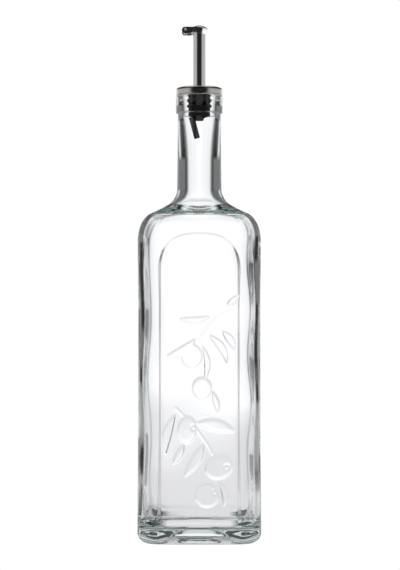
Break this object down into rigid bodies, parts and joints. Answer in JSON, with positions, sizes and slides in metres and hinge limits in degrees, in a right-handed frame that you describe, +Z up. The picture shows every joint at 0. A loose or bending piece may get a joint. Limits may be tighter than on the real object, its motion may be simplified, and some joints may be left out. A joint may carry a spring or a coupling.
{
  "type": "oil cruet with flip-lid pourer",
  "caption": "Tall square clear glass oil bottle with arched panels and raised olive sprigs, a ribbed plug and a steel spout with a flip lid.",
  "frame": {"origin": "on the bottle's axis, at the surface it stands on", "axes": "+Z up along the bottle's axis; the sprig panel faces -Y; the lid opens towards +X"},
  "size_m": [0.08, 0.08, 0.3409],
  "materials": {
    "glass": "clear, polished, faintly green where thick",
    "brushed_steel": "turned and brushed stainless",
    "rubber": "smooth black moulded",
    "vent_plastic": "dark grey moulded",
    "chrome": "polished stainless"
  },
  "bodies": {
    "bottle_body": {"bottle": "glass", "flange": "brushed_steel", "plug": "rubber", "air_tube": "vent_plastic", "spout_tube": "brushed_steel", "hinge_pin": "brushed_steel"},
    "lid_body": {"flap": "chrome", "eyelet_near": "chrome", "eyelet_far": "chrome"}
  },
  "joints": [
    {"name": "lid_hinge", "type": "hinge", "parent": "bottle_body", "child": "lid_body", "pos_m": [-0.0032, 0, 0.3366], "axis": [0, -1, 0], "range_deg": [0, 75]}
  ]
}
